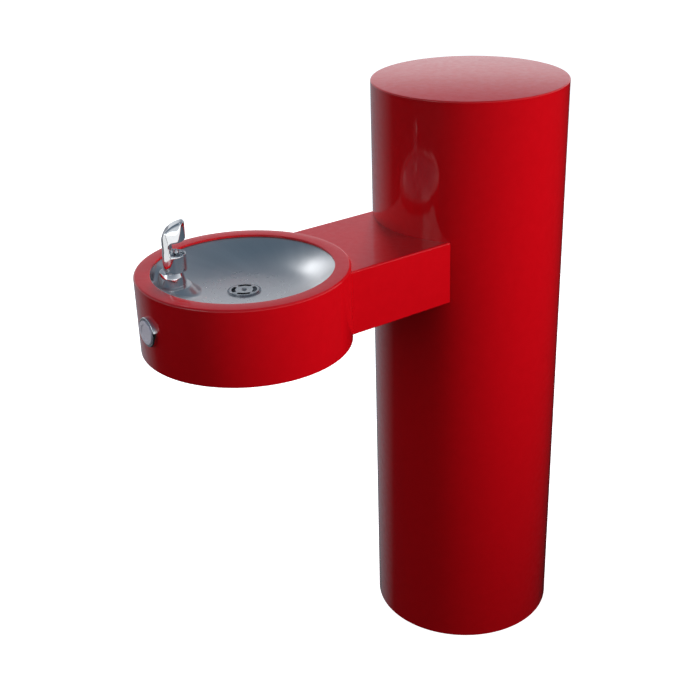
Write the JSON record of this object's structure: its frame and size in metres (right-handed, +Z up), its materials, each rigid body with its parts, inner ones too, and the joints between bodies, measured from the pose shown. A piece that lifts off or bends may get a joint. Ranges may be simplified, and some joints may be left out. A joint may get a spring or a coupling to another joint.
{
  "type": "drinking fountain",
  "caption": "Pedestal drinking fountain: round steel post, box arm and drum bowl with a steel basin, hooded bubbler and front push button.",
  "frame": {"origin": "pedestal axis at floor level, at the middle of the base flange's anchor holes", "axes": "+Z up, -Y from the pedestal towards the bowl and the button, +X to the user's right when facing the fountain"},
  "size_m": [0.36, 0.86, 1.104],
  "materials": {
    "red_paint": "gloss powder coat",
    "zinc_steel": "zinc plated",
    "fastener_steel": "stainless, as turned",
    "satin_stainless": "satin spun stainless",
    "seal_rubber": "matt black",
    "brass": "machined",
    "plated_tube": "plated tubular brass",
    "tube_steel": "drawn stainless",
    "grip_plastic": "dipped vinyl",
    "chrome": "polished",
    "button_metal": "satin nickel"
  },
  "bodies": {
    "stand": {"pedestal_tube": "red_paint", "pedestal_cap": "red_paint", "base_flange": "zinc_steel", "door_frame": "zinc_steel", "access_door": "red_paint", "door_screws": "fastener_steel", "arm_housing": "red_paint", "bowl_housing": "red_paint", "bowl_bottom_cover": "red_paint", "cover_brackets": "zinc_steel", "cover_screws": "fastener_steel", "basin": "satin_stainless", "basin_gasket": "seal_rubber", "basin_studs": "fastener_steel", "basin_nuts": "fastener_steel", "drain_body": "satin_stainless", "drain_strainer": "satin_stainless", "drain_screw": "fastener_steel", "drain_gasket": "seal_rubber", "drain_locknut": "brass", "drain_tailpiece": "plated_tube", "waste_elbow": "plated_tube", "waste_arm_pipe": "plated_tube", "waste_drop_pipe": "plated_tube", "p_trap": "plated_tube", "waste_outlet_pipe": "plated_tube", "slip_nuts": "plated_tube", "pipe_bracket": "zinc_steel", "supply_stub": "tube_steel", "stop_valve_body": "brass", "supply_tube_lower": "tube_steel", "supply_strainer": "brass", "supply_tube_upper": "tube_steel", "compression_nuts": "brass", "button_bezel": "chrome", "button_locknut": "brass", "valve_body": "brass", "valve_end_cap": "brass", "valve_spring": "fastener_steel", "bubbler_tube": "tube_steel", "bubbler_base": "chrome", "bubbler_gasket": "seal_rubber", "bubbler_locknut": "brass", "bubbler_body": "chrome", "bubbler_nozzle": "chrome", "bubbler_set_screw": "fastener_steel"},
    "button": {"push_button": "button_metal", "button_clip": "fastener_steel"},
    "plunger": {"valve_plunger": "brass", "plunger_seal": "seal_rubber"},
    "stop_lever": {"stop_valve_ball": "brass", "stop_valve_lever": "tube_steel", "stop_valve_grip": "grip_plastic", "stop_valve_nut": "brass"},
    "regulator": {"flow_screw": "brass"}
  },
  "joints": [
    {"name": "button_press", "type": "slide", "parent": "stand", "child": "button", "axis": [0, 1, 0], "range_m": [0, 0.004], "stiffness_N_per_m": 1500, "springref_m": -0.006},
    {"name": "plunger_slide", "type": "slide", "parent": "stand", "child": "plunger", "axis": [0, 1, 0], "range_m": [0, 0.004], "deforming": ["valve_spring"]},
    {"name": "stop_valve_turn", "type": "hinge", "parent": "stand", "child": "stop_lever", "pos_m": [0.064, 0.01, 0.316], "axis": [0, 1, 0], "range_deg": [0, 90]},
    {"name": "flow_regulator_turn", "type": "hinge", "parent": "stand", "child": "regulator", "pos_m": [0, -0.6, 0.784], "axis": [0, 0, 1], "range_deg": [-90, 270]}
  ],
  "couplings": [
    {"joint": "plunger_slide", "follows": "button_press", "ratio": 1}
  ]
}
